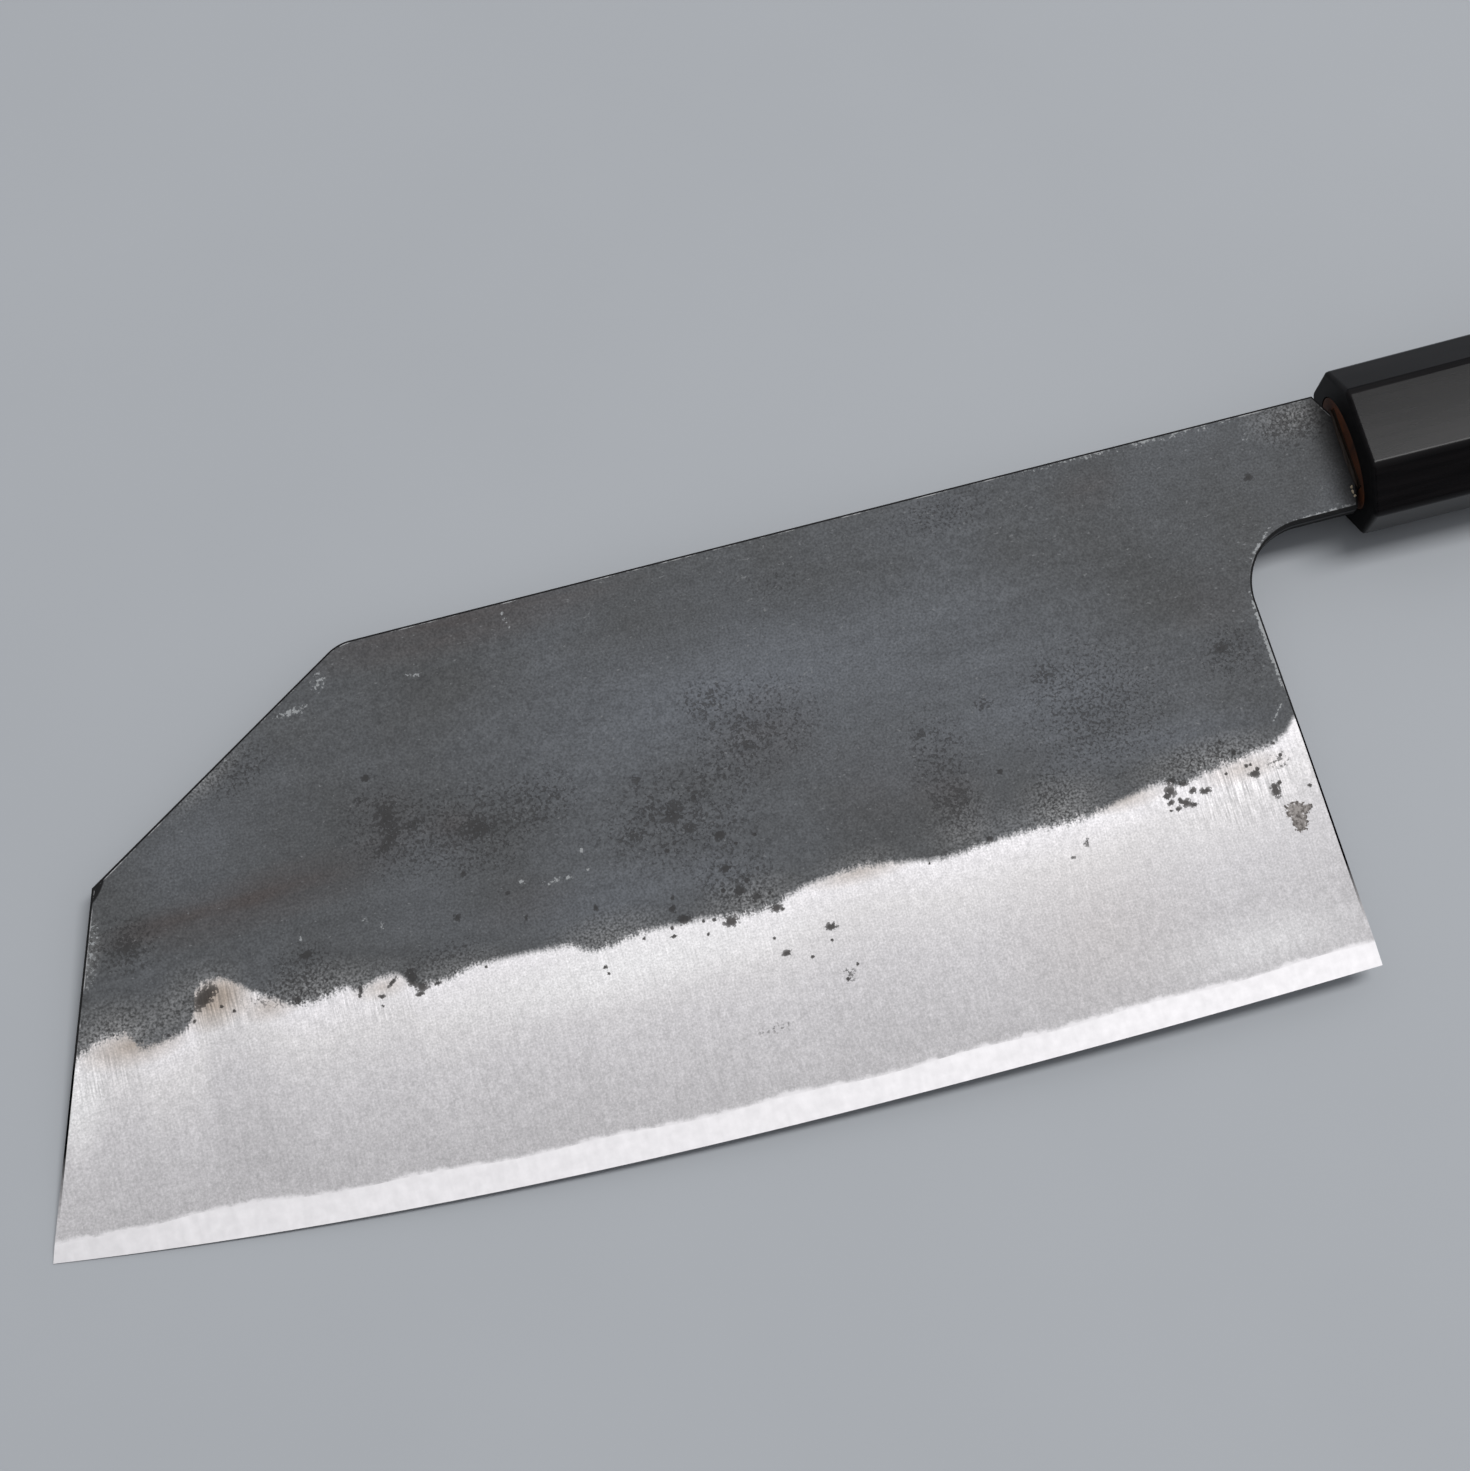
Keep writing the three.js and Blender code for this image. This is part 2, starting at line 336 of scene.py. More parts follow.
def cut_grid(shape):
    """Cuts the skin of the blade into squares."""
    columns = [spot(-GRID * step, 0, 0) for step in range(1, GRID_COLUMNS + 1)]
    rows = [spot(0, GRID_TOP - GRID * step, 0) for step in range(1, GRID_ROWS + 1)]
    lines = [(Vector((1, 0, 0)), place) for place in columns]
    lines += [(Vector((0, 1, 0)), place) for place in rows]
    for normal, place in lines:
        everything = shape.verts[:] + shape.edges[:] + shape.faces[:]
        bmesh.ops.bisect_plane(shape, geom=everything, dist=WELD, plane_co=place, plane_no=normal)


def cladding_shape(node, side):
    """Closed shape of a cladding, eased and waved; a vertex attribute gives the height over the weld line."""
    low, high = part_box(node)
    inner = low.z if side > 0 else high.z
    shape = eased_skin(node, side, inner)
    cut_grid(shape)
    weld = sorted((v.co.x, v.co.y) for v in shape.verts if v.is_boundary and abs(v.co.z - inner) < WELD)
    over_weld = shape.verts.layers.float.new("over_weld")
    for vert in shape.verts:
        vert[over_weld] = (vert.co.y - numpy.interp(vert.co.x, *zip(*weld))) / MM
        height = side * (vert.co.z - inner) / MM
        # The wave fades out where the layer is thinner than a millimetre
        wave = noise.noise((vert.co - MOUTH) / (WAVE_LENGTH * MM))
        vert.co.z += side * WAVE_HEIGHT * wave * min(height, 1) * MM
    rim = shape.faces.layers.float["rim"]
    outline = [edge for edge in shape.edges if edge.is_boundary]
    wall = bmesh.ops.extrude_edge_only(shape, edges=outline)["geom"]
    for part in wall:
        if isinstance(part, bmesh.types.BMVert):
            part.co.z = inner
        if isinstance(part, bmesh.types.BMFace):
            part[rim] = 2
    bmesh.ops.remove_doubles(shape, verts=shape.verts, dist=WELD)
    hole = [edge for edge in shape.edges if edge.is_boundary]
    bmesh.ops.triangle_fill(shape, edges=hole, use_beauty=True)
    bmesh.ops.recalc_face_normals(shape, faces=shape.faces)
    return shape


left_shape = cladding_shape("left_cladding", 1)
right_shape = cladding_shape("right_cladding", -1)
print("Cladding faces:", len(left_shape.faces), len(right_shape.faces))

# %% [markdown]
# ## Where the grinding stops
#
# The upper part of the face still has the dark skin of forge scale. The lower
# part is ground to a bevel, and the line between them wanders, because the
# forged face was never quite flat when it met the stone. A Float Curve draws the
# line through the listed points. Noise then frays it: slow and fine noise for
# the scale, and noise stretched across the edge for the strokes of the stone.

# %% The line between scale and bevel
LINE_START, LINE_END = -215, -15
LINE_LOW, LINE_HIGH = -50, -30
LEFT_LINE = (
    (-214, -42.6), (-203, -42), (-202, -40.8), (-200, -39.8), (-198, -39.1), (-196, -38.9), (-194, -40),
    (-192, -41.8), (-190, -41.6), (-188, -41.3), (-186, -40.6), (-185.2, -39.9), (-184.6, -38.8), (-184, -36),
    (-183, -35), (-181.5, -34.7), (-180, -34.8), (-179, -35.3), (-177, -36.8), (-175, -38.3), (-173, -39.5),
    (-170, -41.2), (-166, -41.3), (-163, -40.8), (-161, -41.5), (-158, -40.5), (-155, -40.9), (-154, -42.5),
    (-152, -43.2), (-149, -43.2), (-145, -42.3), (-139, -42.4), (-131, -43), (-129, -43.9), (-126.5, -44.6),
    (-124, -44.3), (-120, -43.8), (-115, -44), (-111, -44.2), (-107.5, -44.8), (-101.5, -45.1), (-99, -44.1),
    (-95, -43.2), (-88, -42.7), (-84, -43.1), (-80, -43.8), (-75, -44.5), (-70, -44.1), (-64, -43.8),
    (-60, -44), (-54, -44.1), (-50, -43.3), (-46, -42.5), (-42, -42.1), (-39, -43), (-36, -42.2),
    (-32, -41.6), (-28, -41.1), (-25, -40.5), (-23.5, -40), (-22, -39.2), (-20.5, -37.6), (-16, -36),
)
RIGHT_LINE = (
    (-214, -41.4), (-199, -40), (-190, -41.8), (-181, -39), (-174, -40.6), (-162, -42.4), (-150, -41.2),
    (-139, -43), (-127, -44.6), (-118, -43.4), (-104, -44), (-92, -45.4), (-83, -43.8), (-71, -42.8),
    (-60, -44.2), (-49, -43.4), (-40, -41.6), (-31, -42), (-24, -40.2), (-16, -37.5),
)
FRAYS = ((1.8, 1.8, 0.35), (0.3, 3.5, 0.6), (0.28, 0.28, 0.8))  # width, height and reach in millimetres


def over_line(tree, place, grain_place, line, thin):
    """Millimetres over the line where the grinding stops, smooth and frayed; below zero on the bevel."""
    axes = add(tree, "SeparateXYZ", {0: place}).node.outputs
    share = add(tree, "MapRange", {"Value": axes["X"], 1: LINE_START, 2: LINE_END})
    curve = add(tree, "FloatCurve", {"Value": share})
    points = curve.node.mapping.curves[0].points
    width, height = LINE_END - LINE_START, LINE_HIGH - LINE_LOW
    scaled = [((x - LINE_START) / width, (y - LINE_LOW) / height) for x, y in line]
    points[0].location = scaled[0]
    points[1].location = scaled[-1]
    for x, y in scaled[1:-1]:
        points.new(x, y)
    curve.node.mapping.update()
    line_height = add(tree, "MapRange", {"Value": curve, 3: LINE_LOW, 4: LINE_HIGH})
    smooth = add(tree, "Math", {0: axes["Y"], 1: line_height}, operation="SUBTRACT")
    fray_share = add(tree, "MapRange", {"Value": thin, 3: 0.2, 4: 1})
    frayed = smooth
    for wide, high, reach in FRAYS:
        fray_place = add(tree, "Mapping", {"Vector": grain_place, "Scale": (1 / wide, 1 / high, 1)})
        fray = add(tree, "TexNoise", {"Vector": fray_place, "Scale": 1, "Detail": 3})
        push = add(tree, "MapRange", {"Value": fray, 1: 0.3, 2: 0.7, 3: -reach, 4: reach})
        frayed = add(tree, "Math", {0: push, 1: fray_share, 2: frayed}, operation="MULTIPLY_ADD")
    return smooth, frayed


print("Line points, left and right:", len(LEFT_LINE), len(RIGHT_LINE))

# %% [markdown]
# ## Marks with a place of their own
#
# Noise alone gives an even sprinkle, but real scale has clusters: specks where
# the hammer drove scale in, blotches where it flaked, brown bands where it grew
# thick, scuffs where a rack rubbed it, and a worn patch near the heel. Each mark
# below is given one by one. It is an oval: its middle, width, height, turn in
# degrees and strength. A spherical gradient makes a soft oval of it, and the pulls
# of all marks of one kind are added up. Where a mark has to look ragged, a grain
# is added to its pull, and it shows where both together are high enough.

# %% Marks on the left face
SPECKLED = (
    (-192, -27, 12, 11, 0, 0.12), (-168, -36, 14, 8, 0, 0.09), (-140, -23, 24, 18, 0, 0.11),
    (-129, -21, 14, 12, 0, 0.09), (-111, -29, 30, 20, 0, 0.1), (-97, -19, 26, 20, 0, 0.09),
    (-103, -13, 10, 8, 0, 0.1), (-105, -40, 16, 12, 0, 0.1), (-48, -29, 30, 30, 0, 0.09),
    (-72, -31, 12, 22, 0, 0.09), (-34, -40, 18, 6, 0, 0.1), (-171, -6, 16, 8, 30, 0.09),
    (-152, -20, 18, 20, 0, 0.09), (-26, -26, 14, 12, 0, 0.09), (-6, 6, 16, 10, 0, 0.14),
    (-170, -39, 18, 6, 0, 0.1), (-62, 6, 24, 9, 0, 0.07), (-148, -40, 18, 5, 0, 0.09),
    (-151.8, -18, 4.4, 8, 0, 0.18), (-152.8, -22, 7, 2, 38, 0.17), (-148.2, -20, 4, 2, 0, 0.16),
    (-155, -14.7, 2, 1.4, 0, 0.18), (-139.5, -23, 7, 5, 0, 0.12), (-115.5, -22, 1.8, 1.8, 0, 0.18),
    (-111.8, -28, 4.4, 4, 0, 0.17), (-118, -30, 5, 3, 0, 0.15), (-110, -31, 2.6, 2, 0, 0.16),
    (-114.6, -27, 1.6, 6, 0, 0.13), (-108, -26.5, 2.4, 2.6, 0, 0.13), (-98.5, -21, 2.2, 2, 0, 0.15),
    (-54, -22, 5, 4, 0, 0.12), (-27.5, -24.8, 3.6, 2.6, 0, 0.17), (-64, -24, 4, 3, 0, 0.14),
    (-192, -27, 4, 5, 0, 0.13), (-74, -26, 2, 2, 0, 0.14), (-71.5, -38, 8, 10, 0, 0.1),
    (-58, -39.5, 8, 10, 0, 0.09), (-88, 2, 10, 6, 0, 0.05), (-24.5, -43.2, 5, 4, 0, 0.09),
    (-93.4, -57.4, 3.4, 2.6, 0, 0.12), (-105, -62, 10, 2, 0, 0.05),
)
PITS = (
    (-105.3, -41.7, 2.2, 2.2, 0, 0.36), (-103, -43.1, 1.6, 1.3, 0, 0.36), (-101.2, -43, 0.8, 0.8, 0, 0.36),
    (-106.3, -38, 2.2, 1.3, 0, 0.36), (-107.5, -41, 0.9, 0.9, 0, 0.36), (-103.8, -40.5, 0.9, 0.9, 0, 0.36),
    (-114.8, -40.2, 0.9, 0.9, 0, 0.36), (-115.2, -41.6, 1.6, 2.2, 0, 0.36),
    (-125.8, -38.8, 0.9, 1.6, 0, 0.36), (-113.8, -33.3, 0.9, 0.9, 0, 0.36), (-106, -33, 2.2, 1.9, 0, 0.36),
    (-104, -34.8, 0.9, 0.9, 0, 0.36), (-101, -34.2, 0.9, 0.9, 0, 0.36), (-64.2, -34.4, 1.6, 1.3, 0, 0.36),
    (-145.3, -35, 1.5, 1.6, 0, 0.36), (-143, -29, 1, 1, 0, 0.36), (-137.5, -33.4, 0.8, 0.8, 0, 0.36),
    (-135.8, -37.6, 0.9, 0.9, 0, 0.36), (-167.5, -34.7, 2.5, 1.5, 0, 0.36), (-32, -38.4, 1, 1, 0, 0.36),
    (-30.5, -40.4, 1, 1, 0, 0.36), (-15.5, -0.5, 2, 1.4, 30, 0.4),
    (-182.6, -36.9, 6.6, 3.4, 38, 0.4), (-41.2, -43.6, 2.5, 2.3, 0, 0.4),
    (-42, -44.3, 1.3, 1.3, 0, 0.4), (-41.6, -45.2, 1.3, 1.3, 0, 0.4), (-40.2, -45.2, 0.9, 1.3, 0, 0.4),
    (-39.5, -45.8, 2.3, 1.6, 0, 0.4), (-38.4, -46.3, 1.5, 1.2, 0, 0.4), (-40.8, -46.4, 1.3, 0.9, 0, 0.4),
    (-41.9, -46.4, 0.8, 0.8, 0, 0.4), (-38, -44.3, 1.6, 1.3, 0, 0.4), (-36.3, -44.8, 2.5, 1.3, 0, 0.4),
    (-40.6, -42.2, 2.5, 1.6, 0, 0.4), (-39, -42.9, 2, 1.3, 0, 0.4), (-28.5, -44.2, 2.5, 1.6, 0, 0.4),
    (-27.9, -43.6, 0.8, 0.8, 0, 0.4), (-26.3, -47.2, 2, 3.6, 0, 0.4), (-25.4, -46.4, 0.9, 0.9, 0, 0.4),
    (-22.3, -51, 1.6, 0.9, 0, 0.4), (-21.3, -47.9, 0.9, 0.9, 0, 0.4), (-29.4, -42.8, 0.7, 0.7, 0, 0.4),
    (-28.7, -42.8, 0.7, 0.7, 0, 0.4), (-24.1, -42.5, 0.7, 0.7, 0, 0.4), (-24.5, -40.6, 0.7, 0.7, 0, 0.4),
    (-32.6, -43.2, 0.7, 0.7, 0, 0.4), (-101, -52.1, 2, 1.2, 0, 0.4), (-93.9, -50, 2.5, 1.6, 0, 0.4),
    (-97.6, -53.5, 0.7, 0.7, 0, 0.4), (-102.2, -49.6, 0.6, 0.6, 0, 0.4), (-94.3, -51.9, 0.6, 0.6, 0, 0.4),
    (-126.6, -47.4, 0.9, 0.9, 0, 0.4), (-126.3, -48.4, 0.6, 0.6, 0, 0.4), (-91.7, -56.2, 0.7, 0.7, 0, 0.36),
    (-93.6, -57.9, 0.7, 0.7, 0, 0.36), (-107.6, -45.6, 3.2, 2.3, 0, 0.4), (-114, -43.6, 2.9, 2, 0, 0.4),
    (-116, -45.6, 1.3, 0.8, 0, 0.4), (-116, -44.4, 0.8, 0.8, 0, 0.4), (-120.2, -44.8, 0.7, 0.7, 0, 0.4),
    (-111.2, -46.6, 0.7, 0.7, 0, 0.4), (-111.4, -44.6, 0.8, 0.8, 0, 0.4), (-109.8, -44.8, 0.8, 0.8, 0, 0.4),
    (-100.8, -45.4, 2.3, 1.6, 0, 0.4), (-99.9, -45.8, 0.7, 0.7, 0, 0.4), (-68.4, -43.6, 1.2, 1.2, 0, 0.4),
    (-55, -47.7, 1.5, 1.5, 0, 0.2), (-57.6, -49.3, 1, 1, 0, 0.2), (-77.8, -44.8, 0.7, 0.7, 0, 0.4),
    (-158.3, -43.3, 1.3, 0.9, 0, 0.4), (-158.4, -44.6, 0.7, 0.7, 0, 0.4),
    (-156.4, -41.7, 2.5, 0.9, 40, 0.4), (-161.3, -42.4, 0.8, 0.8, 0, 0.4), (-161, -41.6, 0.9, 2, 0, 0.4),
    (-153.6, -41.8, 2, 4.2, 0, 0.4), (-152.4, -43.4, 2.4, 2.4, 0, 0.36), (-153, -44.4, 1.6, 0.8, 0, 0.4),
    (-150.2, -43.5, 1.5, 0.8, 0, 0.4), (-143, -43, 0.6, 0.6, 0, 0.4), (-188.7, -40.9, 0.8, 0.8, 0, 0.4),
    (-184.8, -39.9, 0.8, 0.8, 0, 0.4), (-179, -39.9, 0.8, 0.8, 0, 0.4), (-180.6, -38.9, 0.8, 0.8, 0, 0.4),
    (-170, -40.8, 1.7, 1.7, 0, 0.4), (-153.5, -11.6, 1.7, 1.7, 0, 0.4),
)
BROWN = (
    (-135, 8, 60, 11, 0, 1.5), (-172, -25, 46, 10, 4, 1.7), (-188, -25, 20, 5, 4, 1.2),
    (-82, -33, 24, 20, 0, 0.4), (-72, -36, 14, 18, 0, 0.5), (-27, -17, 18, 12, 0, 0.5),
    (-39, 4, 14, 9, 0, 0.7), (-135, -36, 18, 10, 0, 0.5),
    (-95, -20, 20, 16, 0, 0.5), (-143, -22, 10, 8, 0, 0.8), (-152, -19, 14, 14, 0, 0.5),
)
BLUE = (
    (-96, -12, 120, 26, 0, 1), (-58, -26, 70, 24, 0, 0.8), (-120, -38, 60, 12, 0, 0.7),
    (-178, -13, 40, 14, 25, 0.2), (-190, -32, 20, 10, 0, 0.3), (-40, -36, 40, 8, 0, 0.7),
)
PALE = (
    (-162, 0.9, 7, 1.8, 4, 0.19), (-157, 4.2, 3, 3.6, 0, 0.16), (-128.3, 6.8, 0.9, 5, 14, 0.12),
    (-143, 1.8, 3.4, 0.9, -16, 0.14), (-131, -33.4, 5, 1.2, 4, 0.2), (-125.8, -30.1, 0.9, 0.9, 0, 0.26),
    (-135.2, -32.3, 1.6, 1, -50, 0.2), (-128.5, -33.5, 1.6, 0.9, 0, 0.2), (-158.3, -31.9, 1.4, 1, 0, 0.18),
    (-125.4, -33, 0.8, 0.8, 0, 0.24), (-160, -10.8, 0.9, 0.9, 0, 0.22), (-167.6, -32.2, 0.7, 1.3, 0, 0.22),
    (-156, -33.3, 0.8, 1.5, 0, 0.22), (-14, 5.4, 2.6, 1.4, 60, 0.14),
    (-22.5, -36.3, 0.5, 5, -40, 0.22), (-20.65, -25.5, 1.1, 18, 1, 0.42),
    (-197, -26, 3, 14, -16, 0.11), (-176, -5, 16, 3, 32, 0.1), (-30, 9, 50, 1.6, 0, 0.12),
    (-6, -8.8, 16, 0.9, 1, 0.3), (-17, -10.9, 8, 0.8, 42, 0.22),
)
THIN = (
    (-196, -39, 24, 12, 0, 1), (-183, -37, 16, 12, 0, 0.8), (-167, -40.5, 30, 9, 0, 0.9),
    (-148, -42.5, 20, 7, 0, 0.6), (-125, -43.5, 22, 9, 0, 0.8), (-104, -44, 20, 10, 0, 0.8),
    (-88, -42.5, 18, 6, 0, 0.5), (-71, -42, 16, 14, 0, 0.5), (-57, -42.5, 20, 13, 0, 0.9),
    (-34, -41, 30, 9, 0, 0.9), (-6, 7, 18, 9, 0, 0.7), (-198, -26, 6, 12, -16, 0.7),
    (-176, -6, 18, 5, 32, 0.6),
)
TAN = (
    (-194, -41, 18, 7, 0, 0.9), (-181, -37.5, 13, 9, 20, 1.3), (-174, -40.5, 10, 5, 0, 0.6),
    (-88, -43.4, 18, 4, 0, 0.6), (-48, -43, 14, 4, 0, 0.6), (-30, -43, 16, 5, 0, 0.5),
    (-158, -42, 10, 4, 0, 0.5), (-56, -60, 36, 30, 0, 0.14),
)
COMBED = (
    (-181, -38, 16, 12, 0, 1.2), (-31, -45, 26, 16, 0, 1.1), (-199, -43, 12, 12, 0, 0.7),
    (-160, -44, 20, 8, 0, 0.5),
)
# Clip corners where the painted shade of the filed slope spreads wider
FILED_CORNER_SHADE = ((-195.2, -17.2, 10, 4.2, 52.7, 1), (-153.8, 9.6, 12, 3, 16.3, 1))
WORN = ((-24.3, -50.9, 4.2, 3.4, 0, 0.5), (-24.3, -52.8, 2.8, 3.2, 0, 0.5), (-22.6, -50.9, 2, 1.2, 20, 0.4))
# Painted highlights on the bevel, and a painted reflection of the softbox near the heel
PAINTED_HIGHLIGHTS = (
    (-202.5, -47, 9, 18, -17, 1), (-122, -48, 66, 12, 0, 0.9), (-35, -68, 38, 11, 0, 0.5),
)
DEEP = 100  # a mark reaches right through the layer


def pull_of(tree, place, marks):
    """Sum of the marks' pulls at a point: a mark's strength in its middle, nothing outside it."""
    pull = 0
    for along, up, wide, high, turn, strength in marks:
        oval = {"Vector": place, "Location": (along, up, 0), "Rotation": (0, 0, math.radians(turn))}
        oval["Scale"] = (wide / 2, high / 2, DEEP)
        near = add(tree, "Mapping", oval, vector_type="TEXTURE")
        soft = add(tree, "TexGradient", {"Vector": near}, 1, gradient_type="SPHERICAL")
        pull = add(tree, "Math", {0: soft, 1: strength, 2: pull}, operation="MULTIPLY_ADD")
    return pull


def ragged(tree, pull, grain, start, end, reach, stray=0):
    """Mask of marks frayed by a grain; away from them, where no pull reaches, only a stray share is left."""
    lifted = add(tree, "Math", {0: pull, 1: grain}, operation="ADD")
    mask = add(tree, "MapRange", {"Value": lifted, 1: start, 2: end}, interpolation_type="SMOOTHSTEP")
    near = add(tree, "MapRange", {"Value": pull, 2: reach, 3: stray})
    return add(tree, "Math", {0: mask, 1: near}, operation="MULTIPLY")


left_marks = {
    "dark": SPECKLED + PITS, "brown": BROWN, "blue": BLUE, "pale": PALE,
    "thin": THIN, "tan": TAN, "combed": COMBED, "bright": PAINTED_HIGHLIGHTS, "filed_corner_shade": FILED_CORNER_SHADE, "worn": WORN,
}
print("Marks on the left face:", sum(len(marks) for marks in left_marks.values()))

# %% [markdown]
# ## Forge scale
#
# Scale is iron oxide: nearly black in the lump, but a thin wire-brushed coat on a
# blade looks slate grey and satin, a little blue where it is thin and brown where
# it is thick. Broad noise mixes the greys, streaks run along the blade, and a fine
# grain of a third of a millimetre covers all of it, with a few pale flecks where
# it is rubbed. Close to the line the coat is so thin that the iron shows through,
# and there the grain is much stronger.

# %% Colours of the scale
SCALE_CLOUD = 26  # millimetres, as are the next four
STREAK = (22, 2.4)
MOTTLE = 1.6
GRAIN = 0.34
FLECK = (0.7, 0.45)


def scale_colour(tree, place, grain_place, speck_grain, thin, marks):
    """Colour of the forge scale before its specks."""
    broad = add(tree, "TexNoise", {"Vector": grain_place, "Scale": 1 / SCALE_CLOUD, "Detail": 4})
    spread = add(tree, "MapRange", {"Value": broad, 1: 0.36, 2: 0.64})
    slate = add(tree, "Mix", {0: spread, 6: colour("#4f5051"), 7: colour("#585a5d")}, 2, data_type="RGBA")
    blue = pull_of(tree, place, marks["blue"])
    slate = add(tree, "Mix", {0: blue, 6: slate, 7: colour("#63666b")}, 2, data_type="RGBA")
    streak_ruler = {"Vector": grain_place, "Rotation": (0, 0, -0.05)}
    streak_ruler["Scale"] = (1 / STREAK[0], 1 / STREAK[1], 1)
    streak_place = add(tree, "Mapping", streak_ruler)
    streaks = add(tree, "TexNoise", {"Vector": streak_place, "Scale": 1, "Detail": 4})
    brown = pull_of(tree, place, marks["brown"])
    brown = add(tree, "Math", {0: brown, 1: streaks}, operation="MULTIPLY")
    slate = add(tree, "Mix", {0: brown, 6: slate, 7: colour("#4c4746")}, 2, data_type="RGBA")
    tint = add(tree, "Math", {0: thin, 1: 0.6}, operation="MULTIPLY")
    slate = add(tree, "Mix", {0: tint, 6: slate, 7: colour("#757473")}, 2, data_type="RGBA")
    mottled = {"Vector": grain_place, "Scale": 1 / MOTTLE, "Detail": 4, "Roughness": 0.6}
    mottle = add(tree, "TexNoise", mottled)
    for pattern, reach in ((mottle, 0.1), (streaks, 0.07)):
        gain = add(tree, "MapRange", {"Value": pattern, 1: 0.3, 2: 0.7, 3: 1 - reach, 4: 1 + reach})
        slate = add(tree, "VectorMath", {0: slate, "Scale": gain}, operation="SCALE")
    grain = add(tree, "TexNoise", {"Vector": grain_place, "Scale": 1 / GRAIN, "Detail": 1})
    grain = add(tree, "MapRange", {"Value": grain, 1: 0.3, 2: 0.7, 3: -0.7, 4: 1.3})
    reach = add(tree, "MapRange", {"Value": thin, 3: 0.25, 4: 1.1})
    gain = add(tree, "Math", {0: grain, 1: reach, 2: 1}, operation="MULTIPLY_ADD")
    slate = add(tree, "VectorMath", {0: slate, "Scale": gain}, operation="SCALE")
    fleck_ruler = {"Vector": grain_place, "Scale": (1 / FLECK[0], 1 / FLECK[1], 1)}
    fleck_place = add(tree, "Mapping", fleck_ruler)
    flecks = add(tree, "TexNoise", {"Vector": fleck_place, "Scale": 1, "Detail": 2})
    flecks = add(tree, "MapRange", {"Value": flecks, 1: 0.67, 2: 0.76, 4: 0.5})
    slate = add(tree, "Mix", {0: flecks, 6: slate, 7: colour("#8b8c8d")}, 2, data_type="RGBA")
    gaps = add(tree, "Math", {0: 1, 1: speck_grain}, operation="SUBTRACT")
    pale = ragged(tree, pull_of(tree, place, marks["pale"]), gaps, 0.6, 0.7, 0.03)
    return add(tree, "Mix", {0: pale, 6: slate, 7: colour("#97999a")}, 2, data_type="RGBA")


print("Grain of the scale in mm:", GRAIN)

# %% [markdown]
# ## Ground and blasted bevel
#
# Below the line the iron is bare. It was ground on a stone and then blasted, so
# it is a pale matt grey with a fine grain. Its light is painted into the colour:
# it is brightest just under the line, where the surface rolls over towards the
# light, and darker towards the edge, a painted highlight over painted shade, and
# three ovals of painted highlight and reflection lift it further. The heat of the
# stone left a tan haze in places, its strokes still show in others, and at the
# uneven weld line the iron pales into the core. The grain is drawn a little
# coarser than real blasting, so that it still shows from the camera.

# %% Colours of the bevel
# Millimetres under the line between which each paler shade of painted light comes in
BEVEL_PAINTED_LIGHT = ((-26, -14, "#d4d2d3"), (-14, -6, "#dfdddd"), (-6, -1, "#e9e7e8"))
STROKE = (0.25, 4)  # width and height in millimetres
BLAST = (0.3, 0.3)
BLOTCH = (1.3, 1.3)
WELD_DRIFT = 3  # millimetres between the lowest and the highest place that noise gives the weld line
DRIFT_LENGTH = 5


def bevel_colour(tree, place, grain_place, smooth, marks):
    """Colour of the ground iron before its pits."""
    iron = colour("#c9c7c8")
    # Painted highlight just under the line, painted shade towards the edge
    for start, end, code in BEVEL_PAINTED_LIGHT:
        share = add(tree, "MapRange", {"Value": smooth, 1: start, 2: end})
        iron = add(tree, "Mix", {0: share, 6: iron, 7: colour(code)}, 2, data_type="RGBA")
    # Painted highlight: the bevel is made paler where it would catch the light
    bright = pull_of(tree, place, marks["bright"])
    iron = add(tree, "Mix", {0: bright, 6: iron, 7: colour("#e9e8e8")}, 2, data_type="RGBA")
    haze = pull_of(tree, place, marks["tan"])
    iron = add(tree, "Mix", {0: haze, 6: iron, 7: colour("#bdb3aa")}, 2, data_type="RGBA")
    combed = pull_of(tree, place, marks["combed"])
    comb_reach = add(tree, "MapRange", {"Value": combed, 3: 0.05, 4: 0.28})
    for (wide, high), reach in ((STROKE, comb_reach), (BLAST, 0.13), (BLOTCH, 0.05)):
        stroke_place = add(tree, "Mapping", {"Vector": grain_place, "Scale": (1 / wide, 1 / high, 1)})
        strokes = add(tree, "TexNoise", {"Vector": stroke_place, "Scale": 1, "Detail": 3, "Roughness": 0.6})
        strokes = add(tree, "MapRange", {"Value": strokes, 1: 0.3, 2: 0.7, 3: -1, 4: 1})
        gain = add(tree, "Math", {0: strokes, 1: reach, 2: 1}, operation="MULTIPLY_ADD")
        iron = add(tree, "VectorMath", {0: iron, "Scale": gain}, operation="SCALE")
    over_weld = add(tree, "Attribute", {}, "Fac", attribute_name="over_weld")
    drifting = {"Vector": grain_place, "Scale": 1 / DRIFT_LENGTH, "Detail": 6, "Roughness": 0.7}
    drift = add(tree, "TexNoise", drifting)
    over_weld = add(tree, "Math", {0: drift, 1: WELD_DRIFT, 2: over_weld}, operation="MULTIPLY_ADD")
    pale = add(tree, "MapRange", {"Value": over_weld, 1: 2.2, 2: 1.4}, interpolation_type="SMOOTHSTEP")
    return add(tree, "Mix", {0: pale, 6: iron, 7: colour("#e8e6e7")}, 2, data_type="RGBA")


print("Shades of the bevel:", len(BEVEL_PAINTED_LIGHT) + 1)

# %% [markdown]
# ## Specks, pits and a worn patch
#
# Specks and pits are dark on scale and on bare iron, and darker the stronger the
# mark is. A few stray specks lie all over the scale. The worn patch is bare iron
# that has gone dull, so it is a mottled grey.

